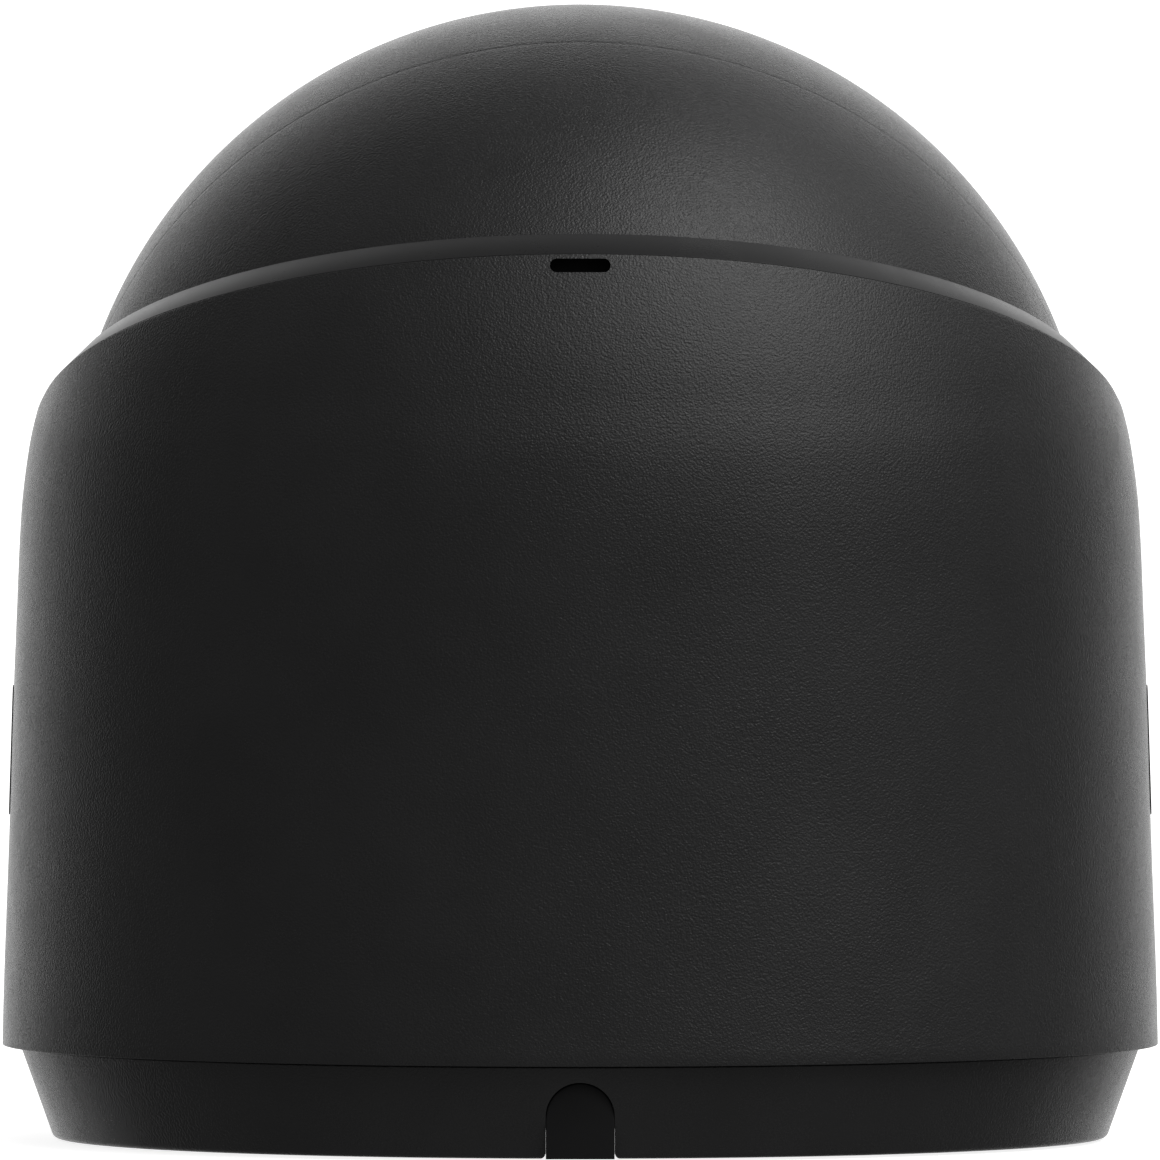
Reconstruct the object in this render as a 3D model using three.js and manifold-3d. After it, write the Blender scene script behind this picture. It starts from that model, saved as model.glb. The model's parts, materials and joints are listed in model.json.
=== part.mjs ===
// Compact weatherproof turret camera, standing on its mounting plate.
// Millimetres, +Z up. Origin at the centre of the mounting face. The lens side faces -Y.
import * as THREE from 'three';
import { mergeVertices } from 'three/addons/utils/BufferGeometryUtils.js';
import Module from 'manifold-3d';

const wasm = await Module();
wasm.setup();

// ---------------------------------------------------------------- driving dimensions
const DEG = Math.PI / 180;
const SEG = 40;               // facets round the large turned pieces

const BALL_R = 38.25;         // outside radius of the ball
const BALL_Z = 46.08;         // height of the ball's centre above the mounting face
const BALL_WALL = 2.2;
const LENS_ELEVATION = 23;    // degrees, lens axis above the horizontal at rest
const SEAM_AHEAD = 1.42;      // seam plane ahead of the ball's centre, along the lens axis
const SEAM_GAP = 0.3;

const RING_TILT = 19.1;       // degrees, ring axis leans from the vertical towards the lens side
const RING_OUT_R = 40.22;     // lower, outer edge of the chamfered band
const RING_OUT_D = 7.84;      // its distance from the ball's centre along the ring axis
const RING_IN_R = 37.95;      // upper, inner edge of the band
const RING_IN_D = 10.27;
const RING_SEAT_GAP = 0.2;

const BASE_R_BOTTOM = 39.2;   // mounting plate, a cone that widens upwards
const BASE_R_TOP = 41.6;
const BASE_H = 6.7;
const BASE_FILLET = 0.5;
const BASE_WALL_IN_R = 37.0;
const BASE_WEB_H = 1.8;
const BASE_HOLE_R = 20;
const SCREW_HOLE_R = 2.1;
const SCREW_HOLE_PCR = 28.5;

const NOTCH_W = 5.1;          // side cable exit in the mounting plate
const NOTCH_H = 5.7;
const PLUG_CLEAR = 0.22;
const PLUG_FACE_Y = 40.2;

const HOUSING_Z0 = 6.94;      // lower edge of the housing
const SPHERE_R = 41.0;        // radius of the housing's shoulder about the ball's centre
const CAVITY_R = 39.1;        // ball cavity
const HOUSING_PROFILE = [     // [height, radius] of the turned outer wall
  [6.94, 43.0], [10.2, 42.93], [17.7, 42.67], [25.1, 42.41], [32.5, 42.19], [40.0, 41.89],
  [42.9, 41.78], [45.9, 41.63], [48.9, 41.37], [50.4, 41.15], [51.9, 40.93], [53.35, 40.63], [54.8, 40.18],
];

const SLOT_W = 4.49;          // release slot under the band, on the side away from the lens
const SLOT_H = 0.95;
const SLOT_Z = 65.8;

const MARK_H = 9.7;           // shallow recess on each side of the housing
const MARK_W = 2.4;
const MARK_Z = 28.85;
const MARK_DEPTH = 0.25;

const PIN_R = 1.1;            // tilt pivot pins
const PIN_X = [36.4, 40.0];
const WINDOW_R = 17.3;
const FACE_S = 33.5;          // front face plane, from the ball's centre
const SHAFT_CLEAR = 0.2;

// ---------------------------------------------------------------- helpers
function clean(geo) {
  const g = geo.clone();
  for (const n of Object.keys(g.attributes)) if (n !== 'position') g.deleteAttribute(n);
  const m = mergeVertices(g, 1e-4);
  const src = m.index.array, keep = [];
  for (let i = 0; i < src.length; i += 3) {
    const a = src[i], b = src[i + 1], c = src[i + 2];
    if (a !== b && b !== c && a !== c) keep.push(a, b, c);
  }
  const p = m.attributes.position.array;
  let vol = 0;
  for (let i = 0; i < keep.length; i += 3) {
    const a = keep[i] * 3, b = keep[i + 1] * 3, c = keep[i + 2] * 3;
    vol += p[a] * (p[b + 1] * p[c + 2] - p[b + 2] * p[c + 1])
         - p[a + 1] * (p[b] * p[c + 2] - p[b + 2] * p[c])
         + p[a + 2] * (p[b] * p[c + 1] - p[b + 1] * p[c]);
  }
  if (vol < 0) for (let i = 0; i < keep.length; i += 3) { const t = keep[i]; keep[i] = keep[i + 1]; keep[i + 1] = t; }
  return { p: new Float32Array(p), t: new Uint32Array(keep) };
}

function solid(geo, matrix) {
  if (matrix) { geo = geo.clone(); geo.applyMatrix4(matrix); }
  const { p, t } = clean(geo);
  return new wasm.Manifold(new wasm.Mesh({ numProp: 3, vertProperties: p, triVerts: t }));
}

function toGeometry(man) {
  const m = man.getMesh();
  const pos = new Float32Array(m.numVert * 3);
  for (let i = 0; i < m.numVert; i++) for (let k = 0; k < 3; k++) pos[i * 3 + k] = m.vertProperties[i * m.numProp + k];
  const g = new THREE.BufferGeometry();
  g.setAttribute('position', new THREE.BufferAttribute(pos, 3));
  g.setIndex(new THREE.BufferAttribute(new Uint32Array(m.triVerts), 1));
  g.computeVertexNormals();
  return g;
}

// Turned solid about Z. The profile is [radius, height] pairs; `loop` closes it on itself.
function turned(profile, seg = SEG, loop = false) {
  const pts = profile.map(([r, z]) => new THREE.Vector2(Math.max(r, 0), z));
  if (loop) pts.push(pts[0].clone());
  const g = new THREE.LatheGeometry(pts, seg);
  g.rotateX(Math.PI / 2);
  return g;
}

// rotateX(90) sends the lathe's +Y to +Z and keeps heights as given.
const T = (x, y, z) => new THREE.Matrix4().makeTranslation(x, y, z);
const RX = (a) => new THREE.Matrix4().makeRotationX(a * DEG);
const RY = (a) => new THREE.Matrix4().makeRotationY(a * DEG);
const RZ = (a) => new THREE.Matrix4().makeRotationZ(a * DEG);
const mul = (...ms) => ms.reduce((a, b) => a.clone().multiply(b));

function cyl(r, z0, z1, seg = 16) { return turned([[0, z0], [r, z0], [r, z1], [0, z1]], seg); }
function tube(r0, r1, z0, z1, seg = SEG) { return turned([[r0, z0], [r1, z0], [r1, z1], [r0, z1]], seg, true); }
function box(x0, x1, y0, y1, z0, z1) {
  const g = new THREE.BoxGeometry(x1 - x0, y1 - y0, z1 - z0);
  g.translate((x0 + x1) / 2, (y0 + y1) / 2, (z0 + z1) / 2);
  return g;
}
function arc(r, a0, a1, n) {   // angles measured from the axis, degrees
  const out = [];
  for (let i = 0; i <= n; i++) { const a = (a0 + (a1 - a0) * i / n) * DEG; out.push([r * Math.sin(a), r * Math.cos(a)]); }
  return out;
}
function extrudeZ(shape, z0, z1, curveSegments = 12) {
  const g = new THREE.ExtrudeGeometry(shape, { depth: z1 - z0, bevelEnabled: false, curveSegments });
  g.translate(0, 0, z0);
  return g;
}
const chain = (first, list) => list.reduce((a, [op, b]) => (op === '+' ? a.add(b) : a.subtract(b)), first);

const root = new THREE.Group();
const ringFrame = new THREE.Group();          // ring axis is its +Z
ringFrame.position.set(0, 0, BALL_Z);
ringFrame.rotation.x = RING_TILT * DEG;
const lensFrame = new THREE.Group();          // lens axis is its +Z
lensFrame.position.set(0, 0, BALL_Z);
lensFrame.rotation.x = (90 - LENS_ELEVATION) * DEG;
root.add(ringFrame, lensFrame);
const RING = mul(T(0, 0, BALL_Z), RX(RING_TILT));
const LENS = mul(T(0, 0, BALL_Z), RX(90 - LENS_ELEVATION));

function add(parent, name, what, color, roughness = 0.6, metalness = 0) {
  const man = what instanceof THREE.BufferGeometry ? solid(what) : what;
  const mesh = new THREE.Mesh(toGeometry(man), new THREE.MeshStandardMaterial({ color, roughness, metalness }));
  mesh.name = name;
  parent.add(mesh);
  return mesh;
}

const BLACK = 0x1d1d1e, SMOOTH = 0x232324, RUBBER = 0x101011, STEEL = 0xb9bcc0, PCB = 0x14502e,
      CHIP = 0x18181a, GLASS = 0x0a0c10, ALU = 0xa7aaae, BRASS = 0xc0a050, WHITE = 0xe8e8e4;

// ---------------------------------------------------------------- mounting plate
{
  const f = BASE_FILLET;
  const slope = (BASE_R_TOP - BASE_R_BOTTOM) / BASE_H;
  const wall = solid(turned([
    [BASE_HOLE_R, 0], [BASE_R_BOTTOM - f, 0], [BASE_R_BOTTOM - 0.1, 0.18], [BASE_R_BOTTOM + slope * f, f],
    [BASE_R_TOP, BASE_H], [BASE_WALL_IN_R, BASE_H], [BASE_WALL_IN_R, BASE_WEB_H], [BASE_HOLE_R, BASE_WEB_H]], 56, true));
  let m = wall;
  for (const a of [90, 210, 330]) {           // snap tabs that hold the chassis lip
    const tab = solid(box(35.4, 37.6, -5, 5, 5.4, 6.5), RZ(a + 30));
    m = m.add(tab);
  }
  for (const a of [30, 150, 270]) m = m.subtract(solid(cyl(SCREW_HOLE_R, -1, 3, 16), mul(RZ(a), T(SCREW_HOLE_PCR, 0, 0))));
  const notch = new THREE.Shape();
  const w = NOTCH_W / 2;
  notch.moveTo(-w, -1); notch.lineTo(w, -1); notch.lineTo(w, NOTCH_H - w);
  notch.absarc(0, NOTCH_H - w, w, 0, Math.PI, false); notch.lineTo(-w, -1);
  m = m.subtract(solid(extrudeZ(notch, -44, -18, 10), RX(90)));      // Shape's Y becomes height
  add(root, 'mount_plate', m, BLACK, 0.62);

  const p = new THREE.Shape(), q = w - PLUG_CLEAR;
  p.moveTo(-q, 0.02); p.lineTo(q, 0.02); p.lineTo(q, NOTCH_H - w);
  p.absarc(0, NOTCH_H - w, q, 0, Math.PI, false); p.lineTo(-q, 0.02);
  add(root, 'cable_notch_plug', solid(extrudeZ(p, -PLUG_FACE_Y, -36.9, 10), RX(90)), SMOOTH, 0.5);

  add(root, 'pan_friction_ring', tube(34.2, 35.4, 2.1, 3.3, 36), RUBBER, 0.9);
}

// ---------------------------------------------------------------- housing shell
function wallRadius(z) {
  const P = HOUSING_PROFILE;
  if (z >= P[P.length - 1][0]) {
    const r = SPHERE_R + 0.1 * Math.max(0, 1 - (z - 54.8) / 8);
    return Math.sqrt(Math.max(0, r * r - (z - BALL_Z) ** 2));
  }
  for (let i = 1; i < P.length; i++) if (z <= P[i][0]) {
    const t = (z - P[i - 1][0]) / (P[i][0] - P[i - 1][0]);
    return P[i - 1][1] + t * (P[i][1] - P[i - 1][1]);
  }
}
// Shoulder turned about the ring axis: it rounds the low, lens-side rim into the wall.
const SHOULDER = [[RING_OUT_R, RING_OUT_D], [42.69, 5.54], [43.78, 2.38]];
function shoulderRadius(d) {
  const [A, B, C] = SHOULDER;
  if (d >= A[1]) return A[0];
  if (d <= C[1]) return C[0] + (C[1] - d) * Math.tan(22.5 * DEG);
  let lo = 0, hi = 1;
  for (let i = 0; i < 40; i++) {
    const t = (lo + hi) / 2, y = (1 - t) ** 2 * A[1] + 2 * t * (1 - t) * B[1] + t * t * C[1];
    if (y > d) lo = t; else hi = t;
  }
  const t = (lo + hi) / 2;
  return (1 - t) ** 2 * A[0] + 2 * t * (1 - t) * B[0] + t * t * C[0];
}
const ST = Math.sin(RING_TILT * DEG), CT = Math.cos(RING_TILT * DEG);
function outerRadius(th, z) {
  const s = Math.sin(th), c = Math.cos(th);
  let lo = 20, hi = 90;
  for (let i = 0; i < 44; i++) {
    const r = (lo + hi) / 2, y = r * s, h = z - BALL_Z;
    const d = -y * ST + h * CT, rho = Math.hypot(r * c, y * CT + h * ST);
    if (rho > shoulderRadius(d)) hi = r; else lo = r;
  }
  return Math.min(wallRadius(z), (lo + hi) / 2);
}
{
  const N = 60, rows = [0, 0.5, 0.72, 0.82, 0.89, 0.94, 0.975, 1];
  const cutD = RING_OUT_D - RING_SEAT_GAP;
  const pos = [], idx = [];
  const rim = [];
  for (let i = 0; i < N; i++) {
    const th = 2 * Math.PI * i / N, s = Math.sin(th);
    let lo = 20, hi = 75;
    for (let k = 0; k < 44; k++) {
      const z = (lo + hi) / 2, r = outerRadius(th, z);
      if (-r * s * ST + (z - BALL_Z) * CT > cutD) hi = z; else lo = z;
    }
    const zr = (lo + hi) / 2;
    rim.push(zr);
    rows.forEach((f) => {
      const z = HOUSING_Z0 + f * (zr - HOUSING_Z0), r = outerRadius(th, z);
      pos.push(r * Math.cos(th), r * s, z);
    });
  }
  const M = rows.length;
  for (let i = 0; i < N; i++) {
    const j = (i + 1) % N;
    for (let k = 0; k < M - 1; k++) {
      const a = i * M + k, b = j * M + k, c = b + 1, d = a + 1;
      idx.push(a, b, c, a, c, d);
    }
  }
  const bc = pos.length / 3; pos.push(0, 0, HOUSING_Z0);
  const tc = bc + 1;
  // centre of the rim plane
  pos.push(0, -cutD * ST, BALL_Z + cutD * CT);
  for (let i = 0; i < N; i++) {
    const j = (i + 1) % N;
    idx.push(bc, j * M, i * M, tc, i * M + M - 1, j * M + M - 1);
  }
  const g = new THREE.BufferGeometry();
  g.setAttribute('position', new THREE.BufferAttribute(new Float32Array(pos), 3));
  g.setIndex(idx);
  let m = solid(g);

  const cavity = solid(turned(arc(CAVITY_R, 180, 0, 14), 36), RING);
  const lower = solid(turned([[0, 5], [40.5, 5], [40.5, 9.2], [40.35, 12], [39.6, 36], [38.7, 44], [0, 44]], 36));
  const step = solid(cyl(39.45, 6.1, 30, 36), RING);
  m = m.subtract(cavity).subtract(lower).subtract(step);

  for (const a of [45, 135, 225, 315]) {      // screw bosses, each on a rib from the wall
    const boss = solid(cyl(2.6, 8.9, 19, 12), mul(RZ(a), T(37.4, 0, 0)));
    const rib = solid(box(37.4, 41.3, -1.5, 1.5, 9.6, 19), RZ(a));
    const pilot = solid(cyl(1.45, 8, 17, 10), mul(RZ(a), T(37.4, 0, 0)));
    m = m.add(boss).add(rib).subtract(pilot);
  }
  for (const sgn of [1, -1]) {
    // friction pad seats, aimed at the ball's centre 25 degrees below the horizontal
    const aim = mul(T(0, 0, BALL_Z), RY(sgn * (90 + 25)));
    m = m.add(solid(cyl(3.6, 41.2, 45.0, 14), aim));
    // pivot pin pockets
    m = m.subtract(solid(cyl(PIN_R + SHAFT_CLEAR, 38.5, PIN_X[1] + SHAFT_CLEAR, 14), mul(T(0, 0, BALL_Z), RY(sgn * 90))));
    // plain side recess
    const pill = new THREE.Shape(), w = MARK_W / 2, h = MARK_H / 2;
    pill.moveTo(-w, -h + w); pill.absarc(0, -h + w, w, Math.PI, 2 * Math.PI, false);
    pill.absarc(0, h - w, w, 0, Math.PI, false);
    const R = wallRadius(MARK_Z);
    m = m.subtract(solid(extrudeZ(pill, R - MARK_DEPTH, R + 3, 8), mul(T(0, 0, MARK_Z), RZ(sgn > 0 ? 0 : 180), RZ(90), RX(90))));
  }
  // release slot, cut level through the wall on the +Y side
  const slot = new THREE.Shape(), a = SLOT_W / 2, b = SLOT_H / 2;
  slot.moveTo(-a + b, -b); slot.lineTo(a - b, -b); slot.absarc(a - b, 0, b, -Math.PI / 2, Math.PI / 2, false);
  slot.lineTo(-a + b, b); slot.absarc(-a + b, 0, b, Math.PI / 2, Math.PI * 1.5, false);
  m = m.subtract(solid(extrudeZ(slot, -45, -33, 6), mul(T(0, 0, SLOT_Z), RX(90))));
  // tilt lock screw hole on the lens side, aimed at the ball's centre 20 degrees below the horizontal
  m = m.subtract(solid(cyl(1.8, 40, 50, 14), mul(T(0, 0, BALL_Z), RX(90 + 20))));
  add(root, 'housing_shell', m, BLACK, 0.62);
}

// ---------------------------------------------------------------- ring and wiper, about the ring axis
add(ringFrame, 'retaining_ring', turned([
  [RING_OUT_R, RING_OUT_D], [RING_IN_R, RING_IN_D], [RING_IN_R, 9.5], [38.6, 8.4], [38.6, 6.4], [39.15, 6.4], [39.15, RING_OUT_D]], 40, true), SMOOTH, 0.5);
add(ringFrame, 'ball_wiper_seal', turned([
  [37.95, 6.5], [38.3, 6.5], [38.3, 8.2], [37.7, 9.1], [37.5, 8.8]], SEG, true), RUBBER, 0.9);

// ---------------------------------------------------------------- chassis and what is fixed on it
const GLAND = [0, -25];
const RESET = [-28, 0];
{
  let m = solid(turned([
    [0, 4.0], [13, 4.0], [15.5, 6.9], [33.2, 6.9], [33.2, 3.6], [36.2, 3.6], [36.2, 5.0], [34.8, 5.0], [34.8, 7.1],
    [40.1, 7.1], [40.1, 7.35], [39.2, 7.35], [39.2, 8.35], [40.1, 8.35], [40.1, 8.6], [14.9, 8.6], [12.4, 5.5], [0, 5.5]], 32));
  for (const a of [45, 135, 225, 315]) {
    m = m.subtract(solid(turned([[0, 6], [2.35, 6], [2.35, 7.65], [1.45, 8.5], [1.45, 9.5], [0, 9.5]], 12), mul(RZ(a), T(37.4, 0, 0))));
  }
  m = m.subtract(solid(cyl(4.0, 6, 9.5, 16), T(GLAND[0], GLAND[1], 0)));
  m = m.subtract(solid(cyl(1.6, 6, 9.5, 12), T(RESET[0], RESET[1], 0)));
  add(root, 'bottom_chassis', m, 0x2a2a2c, 0.6);
  const oring = [];
  for (let i = 0; i < 6; i++) oring.push([39.8 + 0.38 * Math.cos(i * Math.PI / 3), 7.85 + 0.38 * Math.sin(i * Math.PI / 3)]);
  add(root, 'chassis_oring', turned(oring, 32, true), RUBBER, 0.9);
  [45, 135, 225, 315].forEach((a, i) => {
    const s = solid(turned([[0, 7.25], [2.0, 7.25], [2.0, 7.5], [1.15, 8.3], [1.15, 16.5], [0, 16.5]], 10), mul(RZ(a), T(37.4, 0, 0)));
    add(root, `chassis_screw_${i + 1}`, s, STEEL, 0.35, 1);
  });
  add(root, 'cable_gland', solid(turned([
    [2.6, 5.4], [5.2, 5.4], [5.2, 6.6], [3.7, 6.6], [3.7, 8.9], [5.2, 8.9], [5.2, 9.8], [4.0, 10.8], [2.6, 10.8]], 16, true), T(GLAND[0], GLAND[1], 0)), RUBBER, 0.9);
  add(root, 'reset_button', solid(turned([[0, 6.4], [1.3, 6.4], [1.3, 8.75], [2.2, 8.75], [2.2, 9.2], [0, 9.2]], 12), T(RESET[0], RESET[1], 0)), 0x9a2a20, 0.6);
  add(root, 'reset_switch', box(RESET[0] - 2.2, RESET[0] + 2.2, RESET[1] - 2.2, RESET[1] + 2.2, 9.95, 11.0), CHIP, 0.6);
}

// C-shaped power board round the foot of the ball
{
  const b = new THREE.Shape(), a0 = -25 * DEG, a1 = 205 * DEG;
  b.absarc(0, 0, 33.6, a0, a1, false);
  b.absarc(0, 0, 22, a1, a0, true);
  b.closePath();
  add(root, 'power_board', extrudeZ(b, 11.3, 12.9, 20), PCB, 0.5);
  const at = (deg, r) => mul(RZ(deg), T(r, 0, 0));
  add(root, 'poe_transformer', solid(box(-3.4, 3.4, -5, 5, 13.1, 17.3), at(40, 29.8)), 0x3a3326, 0.6);
  add(root, 'filter_capacitor_1', solid(cyl(2.9, 13.1, 17.2, 14), at(135, 29.6)), 0x26303c, 0.4);
  add(root, 'filter_capacitor_2', solid(cyl(2.9, 13.1, 17.2, 14), at(153, 29.6)), 0x26303c, 0.4);
  add(root, 'cable_header', solid(box(-2.5, 2.5, -5, 5, 13.1, 16.6), at(-14, 29.0)), WHITE, 0.6);
  add(root, 'harness_header', box(-4.5, 4.5, 27.6, 32.4, 13.1, 16.3), WHITE, 0.6);
}

// Flat harness from the power board up to the ball's rear outlet
{
  const pts = [[32.8, 14.7], [35.3, 15.0], [37.0, 17.6], [37.7, 22.0], [37.7, 26.2], [37.0, 29.2], [35.98, 30.78]];
  const curve = new THREE.CatmullRomCurve3(pts.map(([y, z]) => new THREE.Vector3(0, y, z)), false, 'centripetal');
  const n = 14, h = 0.45, w = 3.0, pos = [], idx = [];
  for (let i = 0; i <= n; i++) {
    const p = curve.getPoint(i / n), t = curve.getTangent(i / n);
    const ny = -t.z, nz = t.y;
    for (const [sx, sn] of [[-w, -h], [w, -h], [w, h], [-w, h]]) pos.push(sx, p.y + ny * sn, p.z + nz * sn);
  }
  for (let i = 0; i < n; i++) for (let k = 0; k < 4; k++) {
    const a = i * 4 + k, b = i * 4 + (k + 1) % 4, c = b + 4, d = a + 4;
    idx.push(a, b, c, a, c, d);
  }
  idx.push(0, 2, 1, 0, 3, 2);
  const e = n * 4; idx.push(e, e + 1, e + 2, e, e + 2, e + 3);
  const g = new THREE.BufferGeometry();
  g.setAttribute('position', new THREE.BufferAttribute(new Float32Array(pos), 3));
  g.setIndex(idx);
  add(root, 'ball_harness', g, 0x30343a, 0.7);
}

// ---------------------------------------------------------------- tilt pivots, friction pads, lock screw
[['left', 1], ['right', -1]].forEach(([side, sgn]) => {
  const pin = solid(cyl(PIN_R, PIN_X[0], PIN_X[1], 14), mul(T(0, 0, BALL_Z), RY(sgn * 90)));
  add(root, `pivot_pin_${side}`, pin, STEEL, 0.3, 1);
  const pad = solid(turned([[0, 38.75], [2.6, 38.75], [3.0, 39.1], [3.0, 40.9], [0, 40.9]], 14), mul(T(0, 0, BALL_Z), RY(sgn * (90 + 25))));
  add(root, `friction_pad_${side}`, pad, RUBBER, 0.95);
});
{
  const screw = solid(cyl(1.5, 38.7, 44.4, 14)).subtract(solid(new THREE.CylinderGeometry(0.85, 0.85, 3, 6).rotateX(Math.PI / 2), T(0, 0, 44.4)));
  const mesh = add(root, 'tilt_lock_screw', screw, STEEL, 0.35, 1);
  mesh.position.set(0, 0, BALL_Z);
  mesh.rotation.x = (90 + 20) * DEG;
}

// ---------------------------------------------------------------- ball, about the lens axis
const s0 = SEAM_AHEAD - SEAM_GAP / 2, s1 = SEAM_AHEAD + SEAM_GAP / 2;
const BI = BALL_R - BALL_WALL;
const ang = (R, s) => Math.acos(s / R) / DEG;
{
  const outletOut = 8.2, rimIn = ang(BI, s0);
  let m = solid(turned([
    ...arc(BALL_R, 180 - outletOut, ang(BALL_R, s0), 9),
    ...arc(BI, rimIn, 180 - outletOut * BALL_R / BI, 7)], SEG, true));
  for (const sgn of [1, -1]) {                // open seats for the pivot pins
    const R = PIN_R + SHAFT_CLEAR;
    const hole = solid(cyl(R, 34, 40, 14), RY(sgn * 90));
    const mouth = solid(box(sgn > 0 ? 34 : -40, sgn > 0 ? 40 : -34, -R, R, 0, 3));
    m = m.subtract(hole.add(mouth));
  }
  add(lensFrame, 'ball_rear_shell', m, BLACK, 0.62);
  const z = -Math.sqrt(BALL_R ** 2 - 5.1 ** 2);
  add(lensFrame, 'rear_grommet', turned([
    [0, z - 0.1], [5.05, z], [5.05, -35.6], [6.6, -35.2], [6.6, -34.3], [0, -34.3]], 20), RUBBER, 0.9);
}
{
  const faceAng = 29.5;
  let m = solid(turned([
    ...arc(BALL_R, ang(BALL_R, s1), faceAng, 8),
    [18.3, FACE_S], [17.6, FACE_S], [17.6, 30.4], [15.9, 30.4], [15.9, 29.0],
    ...arc(BI, ang(BI, 29.0), ang(BI, s1), 6)], SEG, true));
  for (const a of [45, 135, 225, 315]) m = m.add(solid(cyl(2.0, 6.9, 24.3, 8), mul(RZ(a), T(26.9, 0, 0))));
  for (const a of [90, 210, 330]) m = m.add(solid(cyl(1.3, 26.4, 29.6, 8), mul(RZ(a), T(17.4, 0, 0))));
  add(lensFrame, 'ball_front_shell', m, BLACK, 0.62);
}
add(lensFrame, 'roll_bearing_ring', turned([
  [33.9, -3.0], [35.3, -3.0], [35.3, -2.2], [34.45, -2.2], [34.45, -0.8], [35.3, -0.8], [35.3, 4.0], [33.9, 4.0]], 32, true), WHITE, 0.6);
{
  const o = [];
  for (let i = 0; i < 6; i++) o.push([35.0 + 0.38 * Math.cos(i * Math.PI / 3), -1.5 + 0.38 * Math.sin(i * Math.PI / 3)]);
  add(lensFrame, 'roll_oring', turned(o, 32, true), RUBBER, 0.9);
}

// ---------------------------------------------------------------- camera module
add(lensFrame, 'front_window', cyl(WINDOW_R, 31.3, 32.9, 36), GLASS, 0.08);
add(lensFrame, 'window_gasket', tube(16.1, 17.3, 30.6, 31.1, 30), RUBBER, 0.9);
add(lensFrame, 'lens_light_baffle', tube(7.3, 8.6, 25.6, 31.0, 20), RUBBER, 0.9);
add(lensFrame, 'ir_led_board', tube(9.0, 18.6, 24.5, 26.1, 24), PCB, 0.5);
[[10, 4.5], [10, -4.5], [-10, 4.5], [-10, -4.5]].forEach(([x, y], i) => {
  const k = 13 / Math.hypot(x, y);
  add(lensFrame, `ir_led_${i + 1}`, solid(turned([
    [0, 26.3], [1.9, 26.3], [1.9, 27.2], [1.5, 27.5], [1.35, 28.4], [0.8, 29.0], [0, 29.2]], 12), T(x * k, y * k, 0)), 0x2a1420, 0.2);
});
add(lensFrame, 'daylight_sensor', solid(cyl(1.5, 26.3, 28.6, 12), T(0, 13, 0)), 0xd8d2b0, 0.3);
add(lensFrame, 'microphone', solid(cyl(2.0, 26.3, 28.2, 12), T(0, -13, 0)), ALU, 0.4, 1);
add(lensFrame, 'lens_barrel', turned([
  [4.2, 13.5], [6.5, 13.5], [6.5, 25.0], [6.9, 25.4], [6.9, 30.2], [6.2, 30.9], [5.6, 30.2], [5.6, 27.4], [4.2, 26.6]], 20, true), CHIP, 0.4);
add(lensFrame, 'lens_front_glass', turned([
  [0, 27.9], [5.2, 27.9], [5.2, 28.7], [4.4, 29.4], [2.4, 30.1], [0, 30.35]], 20), 0x1a1030, 0.05);
add(lensFrame, 'lens_holder', solid(tube(6.8, 8.4, 7.0, 19, 20)).add(
  solid(box(-9, 9, -9, 9, 7.0, 9.0)).subtract(solid(cyl(6.8, 6, 10, 20)))), CHIP, 0.6);
add(lensFrame, 'ir_cut_filter', box(-4.3, 4.3, -4.3, 4.3, 11.2, 11.8), 0x6a2030, 0.1);
add(lensFrame, 'image_sensor', box(-4.2, 4.2, -3.4, 3.4, 7.0, 8.3), 0x39424a, 0.3);
add(lensFrame, 'sensor_board', cyl(30.0, 5.0, 6.6, 24), PCB, 0.5);
[45, 135, 225, 315].forEach((a, i) => add(lensFrame, `board_spacer_${i + 1}`, solid(cyl(2.0, -4.1, 4.7, 6), mul(RZ(a), T(26.9, 0, 0))), BRASS, 0.35, 1));
add(lensFrame, 'main_board', cyl(30.0, -6.0, -4.4, 24), PCB, 0.5);
add(lensFrame, 'processor_chip', box(-7, 7, -7, 7, -7.5, -6.3), CHIP, 0.5);
add(lensFrame, 'thermal_pad', box(-7, 7, -7, 7, -8.7, -7.8), 0x7f8fb0, 0.9);
{
  let m = solid(box(-12, 12, -12, 12, -10.8, -9.0));
  for (let i = 0; i < 6; i++) { const y = -12 + i * 4.52; m = m.add(solid(box(-12, 12, y, y + 1.4, -16, -10.5))); }
  add(lensFrame, 'heat_sink', m, ALU, 0.4, 1);
}
add(lensFrame, 'harness_connector', box(-4.5, 4.5, 16, 21, -10.2, -6.3), WHITE, 0.6);

export default root;
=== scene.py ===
import json
import math
import bpy
import bmesh
import numpy as np
from mathutils import Matrix, Vector


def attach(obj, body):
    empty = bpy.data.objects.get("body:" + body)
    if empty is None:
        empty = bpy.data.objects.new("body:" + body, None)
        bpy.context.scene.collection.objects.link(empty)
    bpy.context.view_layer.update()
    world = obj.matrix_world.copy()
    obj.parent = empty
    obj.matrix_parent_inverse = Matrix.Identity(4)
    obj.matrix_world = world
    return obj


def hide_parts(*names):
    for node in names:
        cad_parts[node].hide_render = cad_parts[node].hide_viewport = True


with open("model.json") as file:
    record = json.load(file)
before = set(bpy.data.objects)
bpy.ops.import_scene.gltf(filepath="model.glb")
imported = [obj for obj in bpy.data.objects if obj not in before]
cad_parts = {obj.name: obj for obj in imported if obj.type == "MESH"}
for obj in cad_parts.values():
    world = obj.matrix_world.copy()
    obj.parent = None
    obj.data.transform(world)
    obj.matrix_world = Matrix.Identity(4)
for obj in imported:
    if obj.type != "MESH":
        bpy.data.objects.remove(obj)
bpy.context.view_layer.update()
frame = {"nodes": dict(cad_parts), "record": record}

MM = 0.001
DEG = math.pi / 180

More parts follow.
